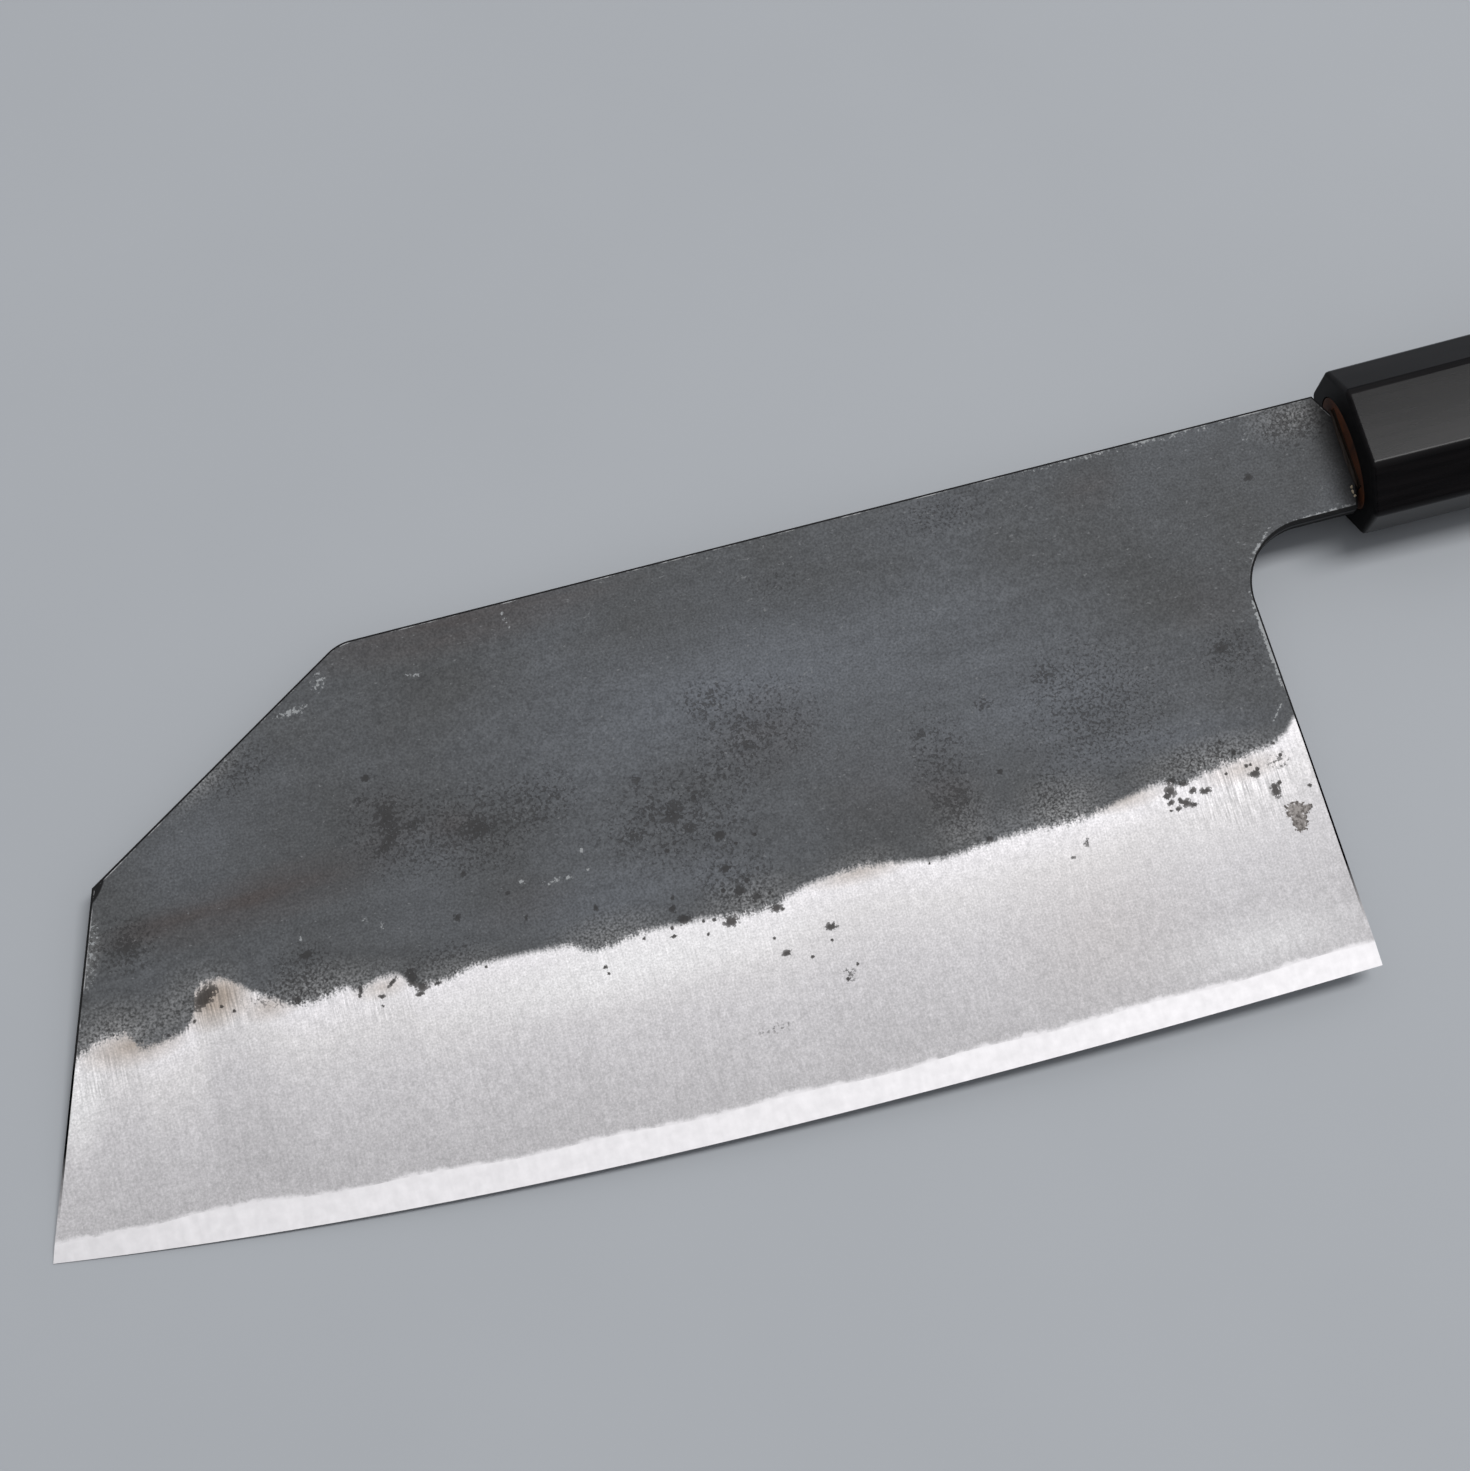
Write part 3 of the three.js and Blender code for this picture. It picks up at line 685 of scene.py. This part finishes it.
# %% Colours of the spots
def spotted(tree, place, speck_grain, scaled, marks, shade):
    """Colour of a face with its spots, and the mask of the dark ones."""
    dark_pull = pull_of(tree, place, marks["dark"])
    stray = add(tree, "Math", {0: scaled, 1: 0.4}, operation="MULTIPLY")
    dark = ragged(tree, dark_pull, speck_grain, 0.58, 0.67, 0.05, stray)
    deep = add(tree, "Mix", {0: scaled, 6: colour("#433f3d"), 7: colour("#363535")}, 2, data_type="RGBA")
    most = add(tree, "MapRange", {"Value": dark_pull, 1: 0.08, 2: 0.26, 3: 0.6, 4: 0.88})
    dark_share = add(tree, "Math", {0: dark, 1: most}, operation="MULTIPLY")
    shade = add(tree, "Mix", {0: dark_share, 6: shade, 7: deep}, 2, data_type="RGBA")
    worn = ragged(tree, pull_of(tree, place, marks["worn"]), speck_grain, 0.58, 0.66, 0.02)
    patchy = add(tree, "MapRange", {"Value": speck_grain, 1: 0.42, 2: 0.6})
    patch = add(tree, "Mix", {0: patchy, 6: colour("#aaa5a2"), 7: colour("#726d6a")}, 2, data_type="RGBA")
    return add(tree, "Mix", {0: worn, 6: shade, 7: patch}, 2, data_type="RGBA"), dark


print("Specks and pits:", len(left_marks["dark"]))

# %% [markdown]
# ## Painted shade at the ferrule and on the filed rim
#
# Next to the ferrule the face is painted darker, as painted shade deeper than
# the shadow that the lamp casts there. Along the filed rim the slope is painted
# nearly black: partly its dark scale, partly painted shade where it faces away
# from the light; the arris is rubbed bright, in places. At both ends of the clip
# the filed slope is wider than the solid's, so its painted shade is spread wider
# there. The rim attribute of the skin is 2 on the slope and 1 on the arris, so
# shaders can tell them apart.

# %% Colours of the rim
RUB_LENGTH = 5  # millimetres


def rimmed(tree, place, grain_place, scaled, marks, shade):
    """Colour of a face with painted shade at the ferrule and on the slope of its rim."""
    along = add(tree, "SeparateXYZ", {0: place}, "X")
    # Painted shade: the face darkens over the last 5 mm before the ferrule
    ferrule_shade = add(tree, "MapRange", {"Value": along, 1: -5, 2: -0.6, 4: 0.75}, interpolation_type="SMOOTHSTEP")
    shade = add(tree, "Mix", {0: ferrule_shade, 6: shade, 7: colour("#232120")}, 2, data_type="RGBA")
    rim = add(tree, "Attribute", {}, "Fac", attribute_name="rim")
    over_weld = add(tree, "Attribute", {}, "Fac", attribute_name="over_weld")
    fading = add(tree, "MapRange", {"Value": over_weld, 1: 3, 2: 12})
    # Painted shade: the rim's slope, partly dark scale, is painted nearly black, wider at the clip's ends
    slope = add(tree, "Math", {0: rim, 1: 1.5}, operation="GREATER_THAN")
    filed_corner_shade = add(tree, "MapRange", {"Value": pull_of(tree, place, marks["filed_corner_shade"]), 1: 0.25, 2: 0.35})
    slope = add(tree, "Math", {0: slope, 1: fading, 2: filed_corner_shade}, operation="MULTIPLY_ADD")
    shade = add(tree, "Mix", {0: slope, 6: shade, 7: colour("#131314")}, 2, data_type="RGBA")
    arris = add(tree, "Math", {0: rim, 1: 1, 2: 0.1}, operation="COMPARE")
    arris = add(tree, "Math", {0: arris, 1: scaled}, operation="MULTIPLY")
    rubbing = {"Vector": grain_place, "Scale": 1 / RUB_LENGTH, "Detail": 6, "Roughness": 0.75}
    rub = add(tree, "TexNoise", rubbing)
    rub = add(tree, "MapRange", {"Value": rub, 1: 0.5, 2: 0.6})
    rub = add(tree, "Math", {0: rub, 1: arris}, operation="MULTIPLY")
    return add(tree, "Mix", {0: rub, 6: shade, 7: colour("#a4a4a5")}, 2, data_type="RGBA")


print("Filed spots:", len(left_marks["filed_corner_shade"]))

# %% [markdown]
# ## The finish of a cladding
#
# Scale and bare iron differ in more than colour: scale is an oxide, so it is only
# half metallic and rather rough, while the bevel is bare metal. One mask, made
# from the frayed line, mixes both. A bump gives the faces a fine tooth and sinks
# specks and pits by a few hundredths of a millimetre. The other face gets a line
# of its own and the same marks with the blade's ends swapped.

# %% Make the two cladding finishes
SPECK = 0.5  # millimetres, as are the next two
TOOTH = 0.7
PIT_DEPTH = 0.02
BLADE_ENDS = -228  # places of tip and heel, added up


def cladding_finish(name, line, marks, seed):
    """Soft iron with forge scale over a ground and blasted bevel."""
    material, tree = new_finish(name)
    place = knife_place(tree)
    grain_place = add(tree, "Mapping", {"Vector": place, "Location": (seed, seed, 0)})
    thin = pull_of(tree, place, marks["thin"])
    smooth, frayed = over_line(tree, place, grain_place, line, thin)
    speckle = {"Vector": grain_place, "Scale": 1 / SPECK, "Detail": 4, "Roughness": 0.6}
    speck_grain = add(tree, "TexNoise", speckle)
    slate = scale_colour(tree, place, grain_place, speck_grain, thin, marks)
    iron = bevel_colour(tree, place, grain_place, smooth, marks)
    scaled = add(tree, "MapRange", {"Value": frayed, 1: -0.65, 2: 0.55}, interpolation_type="SMOOTHSTEP")
    shade = add(tree, "Mix", {0: scaled, 6: iron, 7: slate}, 2, data_type="RGBA")
    shade, dark = spotted(tree, place, speck_grain, scaled, marks, shade)
    shade = rimmed(tree, place, grain_place, scaled, marks, shade)
    metal = add(tree, "MapRange", {"Value": scaled, 3: 1, 4: 0.45})
    tooth = add(tree, "TexNoise", {"Vector": grain_place, "Scale": 1 / TOOTH, "Detail": 4})
    height = add(tree, "Math", {0: dark, 1: -2, 2: tooth}, operation="MULTIPLY_ADD")
    bump = add(tree, "Bump", {"Strength": 1, "Distance": PIT_DEPTH * MM, "Height": height})
    steel = {"Base Color": shade, "Metallic": metal, "Roughness": 0.82, "Normal": bump}
    add(tree, "OutputMaterial", {"Surface": add(tree, "BsdfPrincipled", steel)})
    return material


def mirrored(marks):
    """The same marks with the blade's two ends swapped, for the other face."""
    swapped = []
    for along, up, wide, high, turn, strength in marks:
        swapped.append((BLADE_ENDS - along, up, wide, high, -turn, strength))
    return swapped


right_marks = {kind: mirrored(marks) for kind, marks in left_marks.items()}
right_marks["filed_corner_shade"] = FILED_CORNER_SHADE
left_finish = cladding_finish("soft_iron_scaled_left", LEFT_LINE, left_marks, 0)
right_finish = cladding_finish("soft_iron_scaled_right", RIGHT_LINE, right_marks, 400)
finish_piece(left_shape, "left_face_iron", "left_cladding", left_finish, sharp=30)
finish_piece(right_shape, "right_face_iron", "right_cladding", right_finish, sharp=30)
print("Nodes in the left finish:", len(left_finish.node_tree.nodes))

# %% [markdown]
# ## The core
#
# The hard steel in the middle shows along the cutting edge as a bright strip,
# finished on a fine stone with faint strokes across the edge. It shows as a thin
# line in the spine too, where it has scale like the rest. Its wedge meets the flat
# under the cladding at a slight angle, so only very small angles are smoothed.
# Its triangles stay apart, since larger faces would fold over at the thin edge.

# %% Grind the core
STONE_STROKE = (0.8, 9)  # millimetres, as are the next three
CORE_CLOUD = 1.5
SCALE_ABOVE = -44
GROUND_BELOW = -62
core_finish, tree = new_finish("hard_steel_fine_ground")
place = knife_place(tree)
stroke_size = (1 / STONE_STROKE[0], 1 / STONE_STROKE[1], 1)
stroke_place = add(tree, "Mapping", {"Vector": place, "Scale": stroke_size})
strokes = add(tree, "TexNoise", {"Vector": stroke_place, "Scale": 1, "Detail": 3})
strokes = add(tree, "MapRange", {"Value": strokes, 1: 0.3, 2: 0.7, 3: 0.985, 4: 1.015})
bright = add(tree, "VectorMath", {0: colour("#e8e6e7")[:3], "Scale": strokes}, operation="SCALE")
cloud = add(tree, "TexNoise", {"Vector": place, "Scale": 1 / CORE_CLOUD, "Detail": 4})
cloud = add(tree, "MapRange", {"Value": cloud, 1: 0.3, 2: 0.7, 3: 0.96, 4: 1.04})
bright = add(tree, "VectorMath", {0: bright, "Scale": cloud}, operation="SCALE")
height = add(tree, "SeparateXYZ", {0: place}, "Y")
ground = add(tree, "MapRange", {"Value": height, 1: SCALE_ABOVE, 2: GROUND_BELOW})
shade = add(tree, "Mix", {0: ground, 6: colour("#2b2b2c"), 7: bright}, 2, data_type="RGBA")
rough = add(tree, "MapRange", {"Value": ground, 3: 0.6, 4: 0.76})
metal = add(tree, "MapRange", {"Value": ground, 3: 0.3, 4: 1})
steel = {"Base Color": shade, "Metallic": metal, "Roughness": rough}
add(tree, "OutputMaterial", {"Surface": add(tree, "BsdfPrincipled", steel)})
core = welded_copy("core_steel", joined=False)
finish_piece(core, "edge_steel", "core_steel", core_finish, sharp=2)

# %% [markdown]
# ## The horn ferrule
#
# Buffalo horn is nearly black, with a satin polish and faint streaks along it. The
# block was filed to an octagon and its corners broken, so every edge of the
# octagon is a soft arris that catches a thin line of light. Bevel makes these, on
# the edges that stand open: the grip was sanded flush with the ferrule, so where
# they meet neither is rounded. The solid has a small straight chamfer at its front
# rim, which is set back to a plain corner first, so that bevel can round it whole.
# Weighted normals keep the flats mirroring like flats, up to the rounded edges.
# The front face was filed and never polished, so it is rough.

# %% Round and polish the ferrule
FERRULE_LENGTH = (ferrule_high.x - ferrule_low.x) / MM
BORE_RADIUS = 9.5  # the mouth lies within this, the octagon's edges outside it
ARRIS = 0.75
MOUTH_ARRIS = 0.25
TENON_ARRIS = 0.2
RIM_DEPTH = 1  # how far back the solid's front chamfer can reach
JOINT_REACH = 0.5
FACE_REACH = 0.05
CORNER = math.radians(25)


def open_corners(shape):
    """Edges of the octagon that stand open, away from the joint of ferrule and grip."""
    found = []
    for edge in shape.edges:
        ends = [(vert.co - MOUTH) / MM for vert in edge.verts]
        outside = min(math.hypot(end.y, end.z) for end in ends) > BORE_RADIUS
        at_joint = max(abs(end.x - FERRULE_LENGTH) for end in ends) < JOINT_REACH
        if outside and not at_joint and edge.calc_face_angle() > CORNER:
            found.append(edge)
    return found


def mouth_corners(shape):
    """Edges in the plane of the mouth, inside the octagon."""
    found = []
    for edge in shape.edges:
        ends = [(vert.co - MOUTH) / MM for vert in edge.verts]
        inside = max(math.hypot(end.y, end.z) for end in ends) < BORE_RADIUS
        if inside and max(end.x for end in ends) < FACE_REACH and edge.calc_face_angle() > CORNER:
            found.append(edge)
    return found


def round_edges(shape, edges, reach):
    """Rounds edges, from a reach in millimetres to either side of each."""
    bmesh.ops.bevel(
        shape, geom=edges, offset=reach * MM, offset_type="OFFSET", affect="EDGES",
        segments=5, profile=0.5, material=-1, clamp_overlap=True,
    )


def keep_flats_flat(piece):
    """Lets the large faces set the shading normals, so that a flat mirrors as a flat."""
    weighted = piece.modifiers.new("flat_normals", "WEIGHTED_NORMAL")
    weighted.keep_sharp = True


horn, tree = new_finish("buffalo_horn_polished")
place = knife_place(tree)
fibre_place = add(tree, "Mapping", {"Vector": place, "Scale": (1 / 30, 1 / 1.6, 1 / 1.6)})
fibres = add(tree, "TexNoise", {"Vector": fibre_place, "Scale": 1, "Detail": 4})
fibres = add(tree, "MapRange", {"Value": fibres, 1: 0.4, 2: 0.7})
shade = add(tree, "Mix", {0: fibres, 6: colour("#080708"), 7: colour("#131112")}, 2, data_type="RGBA")
hazy = add(tree, "TexNoise", {"Vector": place, "Scale": 1 / 6, "Detail": 4})
polish = add(tree, "MapRange", {"Value": hazy, 1: 0.3, 2: 0.7, 3: 0.215, 4: 0.235})
along = add(tree, "SeparateXYZ", {0: place}, "X")
rough = add(tree, "MapRange", {"Value": along, 1: 0.05, 2: 0.5, 3: 0.6, 4: polish})
gloss = {"Base Color": shade, "Roughness": rough, "IOR": 1.54, "Specular IOR Level": 0.1}
add(tree, "OutputMaterial", {"Surface": add(tree, "BsdfPrincipled", gloss)})
ferrule = welded_copy("horn_ferrule")
chamfer = {}
for edge in ferrule.edges:
    front, back = sorted(edge.verts, key=lambda vert: vert.co.x)
    if front.co.x - MOUTH.x < WELD and WELD < back.co.x - MOUTH.x < RIM_DEPTH * MM:
        chamfer[front] = back
bmesh.ops.weld_verts(ferrule, targetmap=chamfer)
for vert in ferrule.verts:
    if vert.co.x - MOUTH.x < RIM_DEPTH * MM:
        vert.co.x = MOUTH.x
round_edges(ferrule, open_corners(ferrule), ARRIS)
round_edges(ferrule, mouth_corners(ferrule), MOUTH_ARRIS)
ferrule_piece = finish_piece(ferrule, "ferrule", "horn_ferrule", horn, sharp=35)
keep_flats_flat(ferrule_piece)

# %% [markdown]
# ## The handle
#
# The grip is a dark, close-grained hardwood, oiled. Its fibres run along the
# handle, so the noise is stretched that way, and the butt shows end grain from
# the same pattern. Its oval tenon fills the ferrule; in the mouth its end is
# soaked with adhesive, which turns the wood amber, and was left as it was sawn.

# %% Round and oil the handle
PORE_DEPTH = 0.05
wood, tree = new_finish("dark_hardwood_oiled")
place = knife_place(tree)
ring_place = add(tree, "Mapping", {"Vector": place, "Scale": (1 / 70, 1 / 3.2, 1 / 4.5)})
rings = add(tree, "TexNoise", {"Vector": ring_place, "Scale": 1, "Detail": 5, "Distortion": 0.6})
rings = add(tree, "MapRange", {"Value": rings, 1: 0.3, 2: 0.7})
shade = add(tree, "Mix", {0: rings, 6: colour("#2f1d13"), 7: colour("#5e3f29")}, 2, data_type="RGBA")
pore_place = add(tree, "Mapping", {"Vector": place, "Scale": (1 / 7, 1 / 0.4, 1 / 0.4)})
pores = add(tree, "TexNoise", {"Vector": pore_place, "Scale": 1, "Detail": 2})
pores = add(tree, "MapRange", {"Value": pores, 1: 0.6, 2: 0.7})
shade = add(tree, "Mix", {0: pores, 6: shade, 7: colour("#1d110b")}, 2, data_type="RGBA")
along = add(tree, "SeparateXYZ", {0: place}, "X")
soaked = add(tree, "MapRange", {"Value": along, 1: 3, 2: 0.5})
amber = add(tree, "Mix", {0: rings, 6: colour("#341605"), 7: colour("#65330c")}, 2, data_type="RGBA")
shade = add(tree, "Mix", {0: soaked, 6: shade, 7: amber}, 2, data_type="RGBA")
rough = add(tree, "MapRange", {"Value": soaked, 3: 0.45, 4: 0.75})
dent = add(tree, "Bump", {"Strength": 0.6, "Distance": PORE_DEPTH * MM, "Height": pores}, invert=True)
oiled = {"Base Color": shade, "Roughness": rough, "IOR": 1.5, "Normal": dent}
add(tree, "OutputMaterial", {"Surface": add(tree, "BsdfPrincipled", oiled)})
grip = welded_copy("handle_body")
round_edges(grip, open_corners(grip), ARRIS)
round_edges(grip, mouth_corners(grip), TENON_ARRIS)
grip_piece = finish_piece(grip, "grip_and_tenon", "handle_body", wood, sharp=35)
keep_flats_flat(grip_piece)

# %% [markdown]
# ## The adhesive
#
# The tang is set in resin, a thin sleeve round it in the slot. On each face a low
# brown bead was squeezed out where the neck enters the mouth, and at the lower
# shoulder a few pale crumbs of it dried and broke off. Where the resin shows in
# the gap at the mouth, its brown is painted nearly black, as painted shade of that
# gap. Bead and crumbs are small icospheres, flattened, pushed out of shape by
# noise and set into the face that they stick to.

# %% Set the tang
resin, tree = new_finish("cured_resin_cloudy")
place = knife_place(tree)
axes = add(tree, "SeparateXYZ", {0: place}).node.outputs
low = add(tree, "MapRange", {"Value": axes["Y"], 1: -4.6, 2: -4.9})
dry = add(tree, "MapRange", {"Value": axes["X"], 1: -0.55, 2: -0.75})
dry = add(tree, "Math", {0: dry, 1: low}, operation="MULTIPLY")
cloud = add(tree, "TexNoise", {"Vector": place, "Scale": 1 / 0.8, "Detail": 3})
# Painted shade: the resin showing in the gap at the mouth is nearly black
resin_in_shade = add(tree, "Mix", {0: cloud, 6: colour("#120c07"), 7: colour("#352211")}, 2, data_type="RGBA")
crust = add(tree, "Mix", {0: cloud, 6: colour("#8c7f6a"), 7: colour("#bdae95")}, 2, data_type="RGBA")
shade = add(tree, "Mix", {0: dry, 6: resin_in_shade, 7: crust}, 2, data_type="RGBA")
gum = {"Base Color": shade, "Roughness": 0.6, "IOR": 1.5}
add(tree, "OutputMaterial", {"Surface": add(tree, "BsdfPrincipled", gum)})

# Middle along, up and out, half width, half height, half thickness, and turn in degrees
BLOBS = (
    (-0.2, 0.2, 1.72, 0.5, 6.6, 0.36, 0), (-0.2, 0.2, -1.72, 0.5, 6.6, 0.36, 0),
    (-1.0, -7.4, 1.72, 0.26, 0.2, 0.2, 20), (-1.1, -6.7, 1.72, 0.18, 0.36, 0.2, 10),
    (-1.0, -5.95, 1.72, 0.3, 0.2, 0.2, 60),
)
LUMP = 0.35  # millimetres
sleeve = welded_copy("tang_resin")
for along_mm, up_mm, out_mm, wide, high, thick, turn in BLOBS:
    size = Matrix.Diagonal((wide, high, thick, 1))
    turned = Matrix.Rotation(math.radians(turn), 4, "Z") @ size
    middle = spot(along_mm, up_mm, out_mm)
    seat = Matrix.Translation(middle) @ turned
    blob = bmesh.ops.create_icosphere(sleeve, subdivisions=3, radius=MM, matrix=seat)
    for vert in blob["verts"]:
        swell = 1 + 0.5 * noise.noise((vert.co - MOUTH) / (LUMP * MM))
        vert.co.x = middle.x + (vert.co.x - middle.x) * swell
        vert.co.z = middle.z + (vert.co.z - middle.z) * swell
finish_piece(sleeve, "tang_adhesive", "tang_resin", resin, sharp=40)
